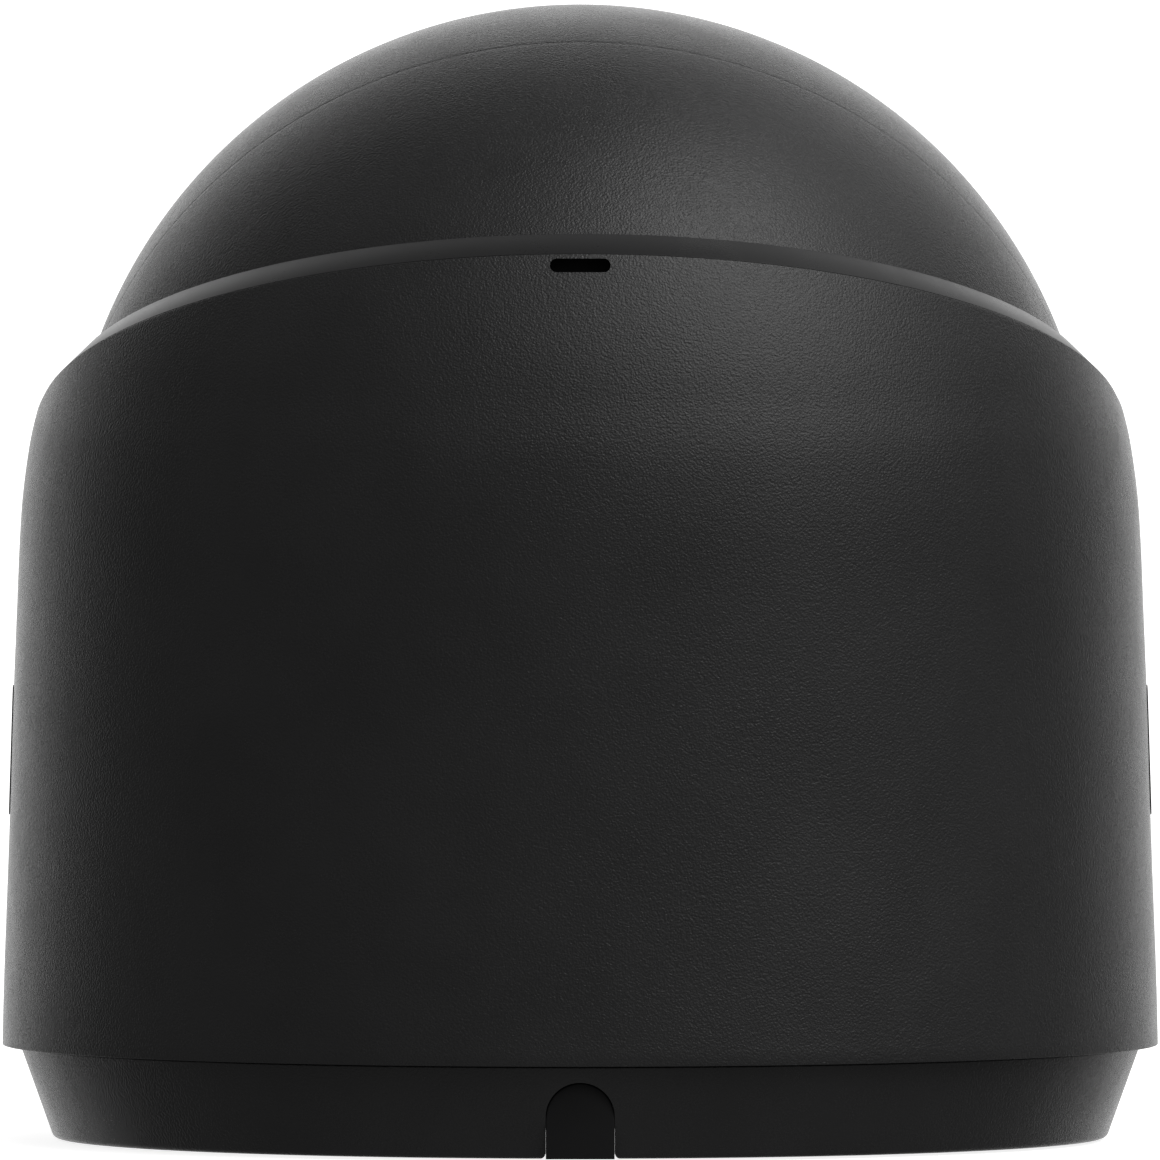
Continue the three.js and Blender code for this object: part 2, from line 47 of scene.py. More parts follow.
# ------------------------------------------------------------------ driving dimensions, as in the CAD
BALL_R = 38.24
BALL_Z = 46.08
LENS_EL = 23.0
SEAM = 1.42
SEAM_GAP = 0.028
TILT = 19.1
RING = Matrix.Translation((0, 0, BALL_Z)) @ Matrix.Rotation(TILT * DEG, 4, "X")
LENS = Matrix.Translation((0, 0, BALL_Z)) @ Matrix.Rotation((90 - LENS_EL) * DEG, 4, "X")
I4 = Matrix.Identity(4)
HOUSING_Z0 = 6.94
RIM_D = 7.832            # housing rim plane, along the ring axis
RING_D = 7.84


# ------------------------------------------------------------------ mesh helpers (millimetres in, metres out)
def mesh_object(name, verts, faces, smooth=35.0):
    me = bpy.data.meshes.new(name)
    me.from_pydata([tuple(v) for v in verts], [], [tuple(f) for f in faces])
    me.update()
    ob = bpy.data.objects.new(name, me)
    bpy.context.scene.collection.objects.link(ob)
    fix_normals(ob)
    shade(ob, smooth)
    return ob


def tidy(bm):
    """Joins the near-coincident points a cut leaves, and drops what collapses to nothing."""
    for dist in (0.0008, 0.0015):
        bmesh.ops.remove_doubles(bm, verts=bm.verts, dist=dist)
        bmesh.ops.dissolve_degenerate(bm, edges=bm.edges, dist=dist)
    bm.faces.index_update()
    seen, islands = set(), []
    for f in bm.faces:
        if f.index in seen:
            continue
        stack, island = [f], []
        seen.add(f.index)
        while stack:
            g = stack.pop()
            island.append(g)
            for e in g.edges:
                for h in e.link_faces:
                    if h.index not in seen:
                        seen.add(h.index)
                        stack.append(h)
        islands.append(island)
    biggest = max(len(i) for i in islands)
    loose = [f for i in islands if len(i) < 12 and len(i) < biggest for f in i]
    if loose:
        bmesh.ops.delete(bm, geom=loose, context="FACES")
    stray = [v for v in bm.verts if not v.link_faces]
    if stray:
        bmesh.ops.delete(bm, geom=stray, context="VERTS")


def fix_normals(ob, clean=False):
    bm = bmesh.new()
    bm.from_mesh(ob.data)
    if clean:
        tidy(bm)
    bmesh.ops.recalc_face_normals(bm, faces=bm.faces)
    if bm.calc_volume(signed=True) < 0:
        bmesh.ops.reverse_faces(bm, faces=bm.faces)
    bm.to_mesh(ob.data)
    bm.free()


def shade(ob, angle):
    ob.data.shade_smooth()
    ob.data.set_sharp_from_angle(angle=angle * DEG)


def to_metres(ob):
    ob.data.transform(Matrix.Scale(MM, 4))
    ob.data.update()
    return ob


def fillet(points, radii, steps=5, closed=True):
    """Rounds the corners of a profile. radii is one number or one for each corner."""
    n = len(points)
    if not isinstance(radii, (list, tuple)):
        radii = [radii] * n
    out = []
    for i, p in enumerate(points):
        r = radii[i]
        if r <= 0 or (not closed and i in (0, n - 1)):
            out.append(tuple(p))
            continue
        a, b, c = np.array(points[i - 1], float), np.array(p, float), np.array(points[(i + 1) % n], float)
        u, v = a - b, c - b
        lu, lv = np.linalg.norm(u), np.linalg.norm(v)
        u, v = u / lu, v / lv
        cosang = float(np.clip(u @ v, -1, 1))
        half = math.acos(cosang) / 2
        if half > 1.55:
            out.append(tuple(p))
            continue
        cut = min(r / math.tan(half), 0.48 * lu, 0.48 * lv)
        rr = cut * math.tan(half)
        centre = b + (u + v) / np.linalg.norm(u + v) * (rr / math.sin(half))
        s, e = b + u * cut - centre, b + v * cut - centre
        sweep = math.acos(float(np.clip((s @ e) / (np.linalg.norm(s) * np.linalg.norm(e)), -1, 1)))
        for k in range(steps + 1):
            t = k / steps
            w = (math.sin((1 - t) * sweep) * s + math.sin(t * sweep) * e) / max(math.sin(sweep), 1e-9)
            out.append(tuple(centre + w))
    return out


def turned(name, profile, seg=192, matrix=I4, loop=True, smooth=32.0, phase=0.0):
    """Turned solid about Z of `matrix`. profile is [radius, height]; when not a loop it runs from the axis back to the axis."""
    verts, faces, rings = [], [], []
    for r, z in profile:
        if r < 1e-6:
            rings.append([len(verts)])
            verts.append(matrix @ Vector((0, 0, z)))
        else:
            ring = []
            for i in range(seg):
                a = 2 * math.pi * i / seg + phase
                ring.append(len(verts))
                verts.append(matrix @ Vector((r * math.cos(a), r * math.sin(a), z)))
            rings.append(ring)
    pairs = list(zip(rings, rings[1:])) + ([(rings[-1], rings[0])] if loop else [])
    for a, b in pairs:
        for i in range(seg):
            j = (i + 1) % seg
            if len(a) == 1 and len(b) == 1:
                continue
            if len(a) == 1:
                faces.append((a[0], b[j], b[i]))
            elif len(b) == 1:
                faces.append((a[i], a[j], b[0]))
            else:
                faces.append((a[i], a[j], b[j], b[i]))
    return mesh_object(name, verts, faces, smooth)


def prism(name, outline, z0, z1, matrix=I4, bevel=0.0, steps=3, smooth=32.0):
    """Solid with the outline (x, y) between two heights, its end edges rounded by `bevel`."""
    pts = [np.array(p, float) for p in outline]
    n = len(pts)
    area = sum(pts[i][0] * pts[(i + 1) % n][1] - pts[(i + 1) % n][0] * pts[i][1] for i in range(n))
    if area < 0:
        pts = pts[::-1]
    norm = []
    for i in range(n):
        a, b, c = pts[i - 1], pts[i], pts[(i + 1) % n]
        d = (c - a) / max(np.linalg.norm(c - a), 1e-9)
        norm.append(np.array([-d[1], d[0]]))
    layers = []
    if bevel > 0:
        for k in range(steps + 1):
            t = k / steps * math.pi / 2
            layers.append((z0 + bevel * (1 - math.sin(t)), bevel * (1 - math.cos(t))))
        layers = layers[::-1]
        up = [(z0 + z1 - z, i) for z, i in layers][::-1]
        layers = layers + up
    else:
        layers = [(z0, 0.0), (z1, 0.0)]
    verts, faces = [], []
    for z, inset in layers:
        for p, q in zip(pts, norm):
            verts.append(matrix @ Vector((*(p + q * inset), z)))
    m = len(layers)
    for k in range(m - 1):
        for i in range(n):
            j = (i + 1) % n
            faces.append((k * n + i, k * n + j, (k + 1) * n + j, (k + 1) * n + i))
    faces.append(tuple(range(n))[::-1])
    faces.append(tuple((m - 1) * n + i for i in range(n)))
    return mesh_object(name, verts, faces, smooth)


def rounded_rect(w, h, r, n=5):
    out = []
    for cx, cy, a0 in ((w / 2 - r, h / 2 - r, 0), (-w / 2 + r, h / 2 - r, 90), (-w / 2 + r, -h / 2 + r, 180), (w / 2 - r, -h / 2 + r, 270)):
        for k in range(n + 1):
            a = (a0 + 90 * k / n) * DEG
            out.append((cx + r * math.cos(a), cy + r * math.sin(a)))
    return out


def boolean(ob, cutter, op="DIFFERENCE", keep=False):
    mod = ob.modifiers.new("cut", "BOOLEAN")
    mod.object = cutter
    mod.operation = op
    try:
        mod.solver = "MANIFOLD"
    except TypeError:
        mod.solver = "EXACT"
    deps = bpy.context.evaluated_depsgraph_get()
    new = bpy.data.meshes.new_from_object(ob.evaluated_get(deps))
    ob.modifiers.clear()
    old = ob.data
    ob.data = new
    bpy.data.meshes.remove(old)
    if not keep:
        me = cutter.data
        bpy.data.objects.remove(cutter)
        bpy.data.meshes.remove(me)
    return ob


def rz(a):
    return Matrix.Rotation(a * DEG, 4, "Z")


def tr(x, y, z):
    return Matrix.Translation((x, y, z))


def aim(direction, origin=(0, 0, BALL_Z)):
    """Frame at origin whose +Z points along direction."""
    return Matrix.Translation(origin) @ Vector(direction).to_track_quat("Z", "Y").to_matrix().to_4x4()


# ------------------------------------------------------------------ procedural materials
SLOTS = {m["slot"]: m for m in frame["record"]["materials"]}


def material(name, color, rough, metal=0.0, grain=0.0, grain_size=0.3, fine=0.0, fine_size=0.05, var=0.15,
             rough_var=0.06, painted_highlight=0.0, painted_highlight_color=(0.2, 0.2, 0.2), spec=0.5, coat=0.0, coat_rough=0.1,
             transmission=0.0, ior=1.5, emission=None, brushed=0.0, fibre=0.0):
    """Principled material with mottled colour, varied roughness, a leather-like grain and a painted highlight: convex
    edges are coloured lighter, as if they caught the light.
    grain and fine are heights in millimetres, and the sizes are in millimetres."""
    mat = bpy.data.materials.new(name)
    mat.use_nodes = True
    nt = mat.node_tree
    nodes, links = nt.nodes, nt.links
    nodes.clear()
    out = nodes.new("ShaderNodeOutputMaterial")
    bsdf = nodes.new("ShaderNodeBsdfPrincipled")
    links.new(bsdf.outputs[0], out.inputs["Surface"])
    bsdf.inputs["Metallic"].default_value = metal
    bsdf.inputs["Specular IOR Level"].default_value = spec
    bsdf.inputs["Coat Weight"].default_value = coat
    bsdf.inputs["Coat Roughness"].default_value = coat_rough
    bsdf.inputs["Transmission Weight"].default_value = transmission
    bsdf.inputs["IOR"].default_value = ior
    coord = nodes.new("ShaderNodeTexCoord")
    pos = coord.outputs["Object"]

    def noise(size_mm, detail=3.0, distortion=0.0, rough=0.55, vec=None):
        t = nodes.new("ShaderNodeTexNoise")
        t.inputs["Scale"].default_value = 1.0 / (size_mm * MM)
        t.inputs["Detail"].default_value = detail
        t.inputs["Roughness"].default_value = rough
        t.inputs["Distortion"].default_value = distortion
        links.new(vec or pos, t.inputs["Vector"])
        return t.outputs["Fac"]

    def remap(value, a, b, c, d):
        t = nodes.new("ShaderNodeMapRange")
        t.clamp = True
        for i, v in zip((1, 2, 3, 4), (a, b, c, d)):
            t.inputs[i].default_value = v
        links.new(value, t.inputs[0])
        return t.outputs[0]

    def math_node(op, a, b):
        t = nodes.new("ShaderNodeMath")
        t.operation = op
        for sock, v in zip(t.inputs, (a, b)):
            if isinstance(v, (int, float)):
                sock.default_value = v
            else:
                links.new(v, sock)
        return t.outputs[0]

    # colour: a slow mottle and a fine speckle between a darker and a lighter tone of the same material
    mottle = noise(9.0, 3.0)
    speck = noise(max(grain_size * 0.8, 0.08), 2.0)
    mixed = math_node("ADD", math_node("MULTIPLY", mottle, 0.6), math_node("MULTIPLY", speck, 0.4))
    tone = remap(mixed, 0.38, 0.62, 0.0, 1.0)
    mix = nodes.new("ShaderNodeMix")
    mix.data_type = "RGBA"
    mix.inputs[6].default_value = (*[max(c * (1 - var), 0) for c in color], 1)
    mix.inputs[7].default_value = (*[min(c * (1 + var), 1) for c in color], 1)
    links.new(tone, mix.inputs[0])
    col = mix.outputs[2]
    rgh = remap(math_node("ADD", math_node("MULTIPLY", noise(5.0, 4.0), 0.6), math_node("MULTIPLY", speck, 0.4)),
                0.35, 0.65, max(rough - rough_var, 0.02), min(rough + rough_var, 1.0))
    # painted highlight: convex edges, found by pointiness, are mixed in patches toward a lighter colour, standing in
    # for rounded edges catching the light; there the roughness is lowered too
    if painted_highlight > 0:
        geo = nodes.new("ShaderNodeNewGeometry")
        edge = remap(geo.outputs["Pointiness"], 0.52, 0.60, 0.0, 1.0)
        patch = remap(noise(1.6, 4.0), 0.40, 0.62, 0.15, 1.0)
        fac = math_node("MULTIPLY", math_node("MULTIPLY", edge, patch), painted_highlight)
        m2 = nodes.new("ShaderNodeMix")
        m2.data_type = "RGBA"
        links.new(fac, m2.inputs[0])
        links.new(col, m2.inputs[6])
        m2.inputs[7].default_value = (*painted_highlight_color, 1)
        col = m2.outputs[2]
        rgh = math_node("SUBTRACT", rgh, math_node("MULTIPLY", fac, 0.12))
    links.new(col, bsdf.inputs["Base Color"])
    links.new(rgh, bsdf.inputs["Roughness"])
    if emission:
        bsdf.inputs["Emission Color"].default_value = (*emission[0], 1)
        bsdf.inputs["Emission Strength"].default_value = emission[1]

    normal = None
    if grain > 0:
        # pebbled grain: fine ridges of noise over soft cells, so that no two pebbles match
        vor = nodes.new("ShaderNodeTexVoronoi")
        vor.feature = "F1"
        vor.inputs["Scale"].default_value = 1.0 / (grain_size * 1.25 * MM)
        vor.inputs["Randomness"].default_value = 1.0
        links.new(pos, vor.inputs["Vector"])
        cells = remap(vor.outputs["Distance"], 0.0, 0.9, 1.0, 0.0)
        ridges = noise(grain_size, 1.5, 0.5, 0.6)
        h = math_node("ADD", math_node("MULTIPLY", cells, 0.45), ridges)
        b = nodes.new("ShaderNodeBump")
        b.inputs["Strength"].default_value = 1.0
        b.inputs["Distance"].default_value = grain * MM
        links.new(h, b.inputs["Height"])
        normal = b.outputs[0]
    if fine > 0:
        b = nodes.new("ShaderNodeBump")
        b.inputs["Strength"].default_value = 1.0
        b.inputs["Distance"].default_value = fine * MM
        vec = None
        if brushed > 0:
            mp = nodes.new("ShaderNodeMapping")
            mp.inputs["Scale"].default_value = (1.0, 1.0, brushed)
            links.new(pos, mp.inputs["Vector"])
            vec = mp.outputs[0]
        links.new(noise(fine_size, 3.0, 0.0, 0.6, vec), b.inputs["Height"])
        if normal:
            links.new(normal, b.inputs["Normal"])
        normal = b.outputs[0]
    if normal:
        links.new(normal, bsdf.inputs["Normal"])
    mat.diffuse_color = (*color, 1)
    return mat


# the lighter edge colours given to these materials and to several below are a painted highlight on convex edges
BODY = material("body_black", (0.0305, 0.0305, 0.0310), 0.26, grain=0.046, grain_size=0.155, var=0.12, rough_var=0.04,
                painted_highlight=0.25, painted_highlight_color=(0.050, 0.050, 0.051))
BAND = material("band_black", (0.0240, 0.0240, 0.0245), 0.30, spec=0.30, fine=0.0010, fine_size=0.12, var=0.08, rough_var=0.03,
                painted_highlight=0.2, painted_highlight_color=(0.05, 0.05, 0.05))
PLUG = material("plug_black", (0.0120, 0.0120, 0.0125), 0.45, spec=0.35, fine=0.002, fine_size=0.10, var=0.1, rough_var=0.05,
                painted_highlight=0.25, painted_highlight_color=(0.03, 0.03, 0.03))
MATS = {
    "body_black": BODY, "band_black": BAND, "plug_black": PLUG,
    "chassis_black": material("chassis_black", (0.02, 0.02, 0.021), 0.55, grain=0.012, grain_size=0.35, painted_highlight=0.3, painted_highlight_color=(0.06, 0.06, 0.06)),
    "seal_rubber": material("seal_rubber", (0.007, 0.007, 0.007), 0.72, fine=0.004, fine_size=0.10, var=0.25, rough_var=0.08),
    "pad_rubber": material("pad_rubber", (0.012, 0.012, 0.012), 0.8, fine=0.006, fine_size=0.18, var=0.25),
    "fastener_steel": material("fastener_steel", (0.52, 0.53, 0.55), 0.28, metal=1.0, fine=0.0015, fine_size=0.06, brushed=6.0, var=0.08, painted_highlight=0.3, painted_highlight_color=(0.75, 0.75, 0.76)),
    "spacer_brass": material("spacer_brass", (0.72, 0.52, 0.24), 0.3, metal=1.0, fine=0.001, fine_size=0.08, brushed=5.0, var=0.08),
    "board_green": material("board_green", (0.010, 0.060, 0.026), 0.35, fine=0.004, fine_size=0.35, var=0.2, coat=0.3, coat_rough=0.2),
    "component_black": material("component_black", (0.014, 0.014, 0.015), 0.5, fine=0.003, fine_size=0.10, var=0.2, painted_highlight=0.3, painted_highlight_color=(0.06, 0.06, 0.06)),
    "component_white": material("component_white", (0.62, 0.61, 0.57), 0.5, fine=0.003, fine_size=0.2, var=0.06),
    "bearing_white": material("bearing_white", (0.66, 0.66, 0.63), 0.42, fine=0.002, fine_size=0.25, var=0.05),
    "transformer_wrap": material("transformer_wrap", (0.10, 0.075, 0.030), 0.5, fine=0.004, fine_size=0.3, var=0.15),
    "capacitor_sleeve": material("capacitor_sleeve", (0.02, 0.035, 0.06), 0.3, fine=0.001, fine_size=0.2, var=0.1, coat=0.3),
    "heat_sink_aluminium": material("heat_sink_aluminium", (0.60, 0.61, 0.63), 0.42, metal=1.0, fine=0.003, fine_size=0.08, var=0.06),
    "pad_thermal": material("pad_thermal", (0.25, 0.30, 0.45), 0.85, fine=0.006, fine_size=0.2, var=0.1),
    "window_glass": material("window_glass", (0.80, 0.81, 0.83), 0.03, transmission=1.0, ior=1.5, var=0.03, rough_var=0.012),
    "lens_glass": material("lens_glass", (0.42, 0.28, 0.62), 0.03, transmission=0.75, ior=1.55, var=0.05, rough_var=0.01, coat=1.0, coat_rough=0.03),
    "filter_glass": material("filter_glass", (0.35, 0.10, 0.14), 0.04, transmission=0.7, ior=1.52, var=0.05, rough_var=0.01),
    "led_lens": material("led_lens", (0.16, 0.08, 0.13), 0.10, var=0.15, rough_var=0.03, coat=1.0, coat_rough=0.05),
    "sensor_package": material("sensor_package", (0.05, 0.07, 0.09), 0.15, var=0.1, coat=0.8, coat_rough=0.05),
    "photocell": material("photocell", (0.55, 0.50, 0.34), 0.18, var=0.08, coat=0.6),
    "button_red": material("button_red", (0.30, 0.028, 0.02), 0.45, fine=0.003, fine_size=0.15, var=0.1, painted_highlight=0.3, painted_highlight_color=(0.5, 0.15, 0.12)),
    "harness_sleeve": material("harness_sleeve", (0.03, 0.035, 0.045), 0.6, fine=0.01, fine_size=0.3, var=0.2),
}
missing = set(SLOTS) - set(MATS)
assert not missing, missing

NODE_SLOT = {s["node"]: s["material_slot"] for s in frame["record"]["subparts"]}
NODE_BODY = {n: b for b, ns in frame["record"]["behaviour"]["bodies"].items() for n in ns}


for node, ob in frame["nodes"].items():
    ob.data.materials.clear()
    ob.data.materials.append(MATS[NODE_SLOT[node]])


def finish_piece(ob, node, mat=None, slot=None):
    """The piece rides on its node's body and replaces that node."""
    to_metres(ob)
    slot = slot or NODE_SLOT[node]
    ob.data.materials.clear()
    ob.data.materials.append(mat or MATS[slot])
    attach(ob, NODE_BODY[node])
    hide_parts(node)
    return ob


def extra_piece(ob, body, slot, mat=None):
    """A detail with no CAD node of its own."""
    to_metres(ob)
    ob.data.materials.clear()
    ob.data.materials.append(mat or MATS[slot])
    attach(ob, body)
    return ob


# ------------------------------------------------------------------ mounting plate
def notch_outline(w, h, flare=0.0, r=0.0, low=-1.0):
    """Arch, open at the bottom, in (x, height). The foot can flare outward with a rounded corner."""
    half = w / 2
    pts = []
    if flare > 0:
        pts += [(half + flare + 1.5, low), (half + flare + 1.5, -0.001)]
        for k in range(9):
            a = k / 8
            pts.append((half + flare * (1 - math.sin(a * math.pi / 2)) ** 1.0, r * (1 - math.cos(a * math.pi / 2))))
    else:
        pts += [(half, low)]
    for k in range(25):
        a = math.pi * k / 24
        pts.append((half * math.cos(a), h - half + half * math.sin(a)))
    mirror = [(-x, y) for x, y in pts if y < h - half - 1e-6][::-1]
    return pts + mirror


TO_BACK = Matrix.Rotation(90 * DEG, 4, "X")      # (x, y, z) -> (x, -z, y): outline in XZ, depth along -Y


def make_mount():
    slope = (41.6 - 39.2) / 6.7
    prof = [(20.0, 0.0), (39.2 - 0.02, 0.0), (39.2 + slope * 6.87, 6.87), (37.0, 6.87), (37.0, 1.8), (20.0, 1.8)]
    prof = fillet(prof, [0.2, 0.55, 0.10, 0.2, 0.5, 0.2], 6)
    ob = turned("mount_plate_body", prof, 320)
    for a in (90, 210, 330):
        tab = prism("tab", rounded_rect(2.2, 10, 0.5), 5.4, 6.5, rz(a + 30) @ tr(36.5, 0, 0), bevel=0.15)
        boolean(ob, tab, "UNION")
    for a in (30, 150, 270):
        hole = turned("hole", [(0, -1), (2.1, -1), (2.1, 0.9), (3.7, 1.85), (3.7, 3), (0, 3)], 48, rz(a) @ tr(28.5, 0, 0), loop=False)
        boolean(ob, hole)
    cutter = prism("notch", notch_outline(5.1, 5.7), -44, -18, TO_BACK)
    boolean(ob, cutter)
    # the corners at the foot of the notch are rounded off
    for sgn in (1, -1):
        pts = [(2.0, -1), (3.1, -1), (3.02, 0.0)]
        for k in range(9):
            a = k / 8 * math.pi / 2
            pts.append((2.55 + 0.42 * (1 - math.sin(a)), 0.5 * (1 - math.cos(a))))
        pts += [(2.0, 0.5)]
        cutter = prism("foot", [(sgn * x, z) for x, z in pts], -44, -30, TO_BACK)
        boolean(ob, cutter)
    fix_normals(ob, clean=True)
    shade(ob, 28)
    return finish_piece(ob, "mount_plate")


def make_plug():
    w, h = 5.07, 5.62
    out = [(x, z) for x, z in notch_outline(w, h, low=0.015)]
    ob = prism("cable_exit_plug", out, -40.2, -37.0, TO_BACK, bevel=0.10, steps=4)
    fix_normals(ob, clean=True)
    shade(ob, 28)
    return finish_piece(ob, "cable_notch_plug")


# ------------------------------------------------------------------ housing
PROFILE = np.array([
    [6.94, 43.0], [10.2, 42.93], [17.7, 42.67], [25.1, 42.41], [32.5, 42.19], [40.0, 41.89],
    [42.9, 41.78], [45.9, 41.63], [48.9, 41.37], [50.4, 41.15], [51.9, 40.93], [53.35, 40.63], [54.8, 40.18]])


def smooth_profile():
    """The measured wall, splined onto the shoulder's sphere, as a dense table of height and radius."""
    zs = list(PROFILE[:, 0])
    rs = list(PROFILE[:, 1])
    for z in np.arange(56.2, 70.1, 1.4):
        r = 41.0 + 0.1 * max(0.0, 1 - (z - 54.8) / 8)
        zs.append(z)
        rs.append(math.sqrt(r * r - (z - BALL_Z) ** 2))
    zs, rs = np.array(zs), np.array(rs)
    dense = np.linspace(zs[0], zs[-1], 1400)
    # natural cubic spline
    n = len(zs)
    h = np.diff(zs)
    A = np.zeros((n, n))
    b = np.zeros(n)
    A[0, 0] = A[-1, -1] = 1
    for i in range(1, n - 1):
        A[i, i - 1], A[i, i], A[i, i + 1] = h[i - 1], 2 * (h[i - 1] + h[i]), h[i]
        b[i] = 3 * ((rs[i + 1] - rs[i]) / h[i] - (rs[i] - rs[i - 1]) / h[i - 1])
    c = np.linalg.solve(A, b)
    k = np.clip(np.searchsorted(zs, dense, side="right") - 1, 0, n - 2)
    d = (c[k + 1] - c[k]) / (3 * h[k])
    bb = (rs[k + 1] - rs[k]) / h[k] - h[k] * (2 * c[k] + c[k + 1]) / 3
    x = dense - zs[k]
    val = rs[k] + bb * x + c[k] * x ** 2 + d * x ** 3
    # a moving average takes out the last of the measuring noise
    win = 81
    pad = np.pad(val, win // 2, mode="reflect", reflect_type="odd")
    val = np.convolve(pad, np.ones(win) / win, mode="valid")
    return dense, val


TABLE_Z, TABLE_R = smooth_profile()
ST, CT = math.sin(TILT * DEG), math.cos(TILT * DEG)


def wall_radius(z):
    return float(np.interp(z, TABLE_Z, TABLE_R))


SH = [(40.22, 7.84), (42.69, 5.54), (43.78, 2.38)]
_t = np.linspace(0, 1, 120)
SH_R = (1 - _t) ** 2 * SH[0][0] + 2 * _t * (1 - _t) * SH[1][0] + _t ** 2 * SH[2][0]
SH_D = (1 - _t) ** 2 * SH[0][1] + 2 * _t * (1 - _t) * SH[1][1] + _t ** 2 * SH[2][1]


def shoulder_radius(d):
    if d >= SH[0][1]:
        return SH[0][0] - (d - SH[0][1]) * 1.07
    if d <= SH[2][1]:
        return SH[2][0] + (SH[2][1] - d) * math.tan(22.0 * DEG)
    return float(np.interp(-d, -SH_D, SH_R))


def outer_radius(th, z):
    s, c = math.sin(th), math.cos(th)
    lo, hi = 20.0, 90.0
    h = z - BALL_Z
    for _ in range(30):
        r = (lo + hi) / 2
        y = r * s
        d = -y * ST + h * CT
        if math.hypot(r * c, y * CT + h * ST) > shoulder_radius(d):
            hi = r
        else:
            lo = r
    a, b = wall_radius(z), (lo + hi) / 2
    # the shoulder and the wall run together softly, but meet the ring's edge flush
    d = -min(a, b) * s * ST + h * CT
    q = min(max((SH[0][1] - d) / 1.8, 0.0), 1.0)
    k = 0.004 + 0.9 * q * q * (3 - 2 * q)
    t = max(k - abs(a - b), 0.0) / k
    return min(a, b) - t * t * k * 0.25


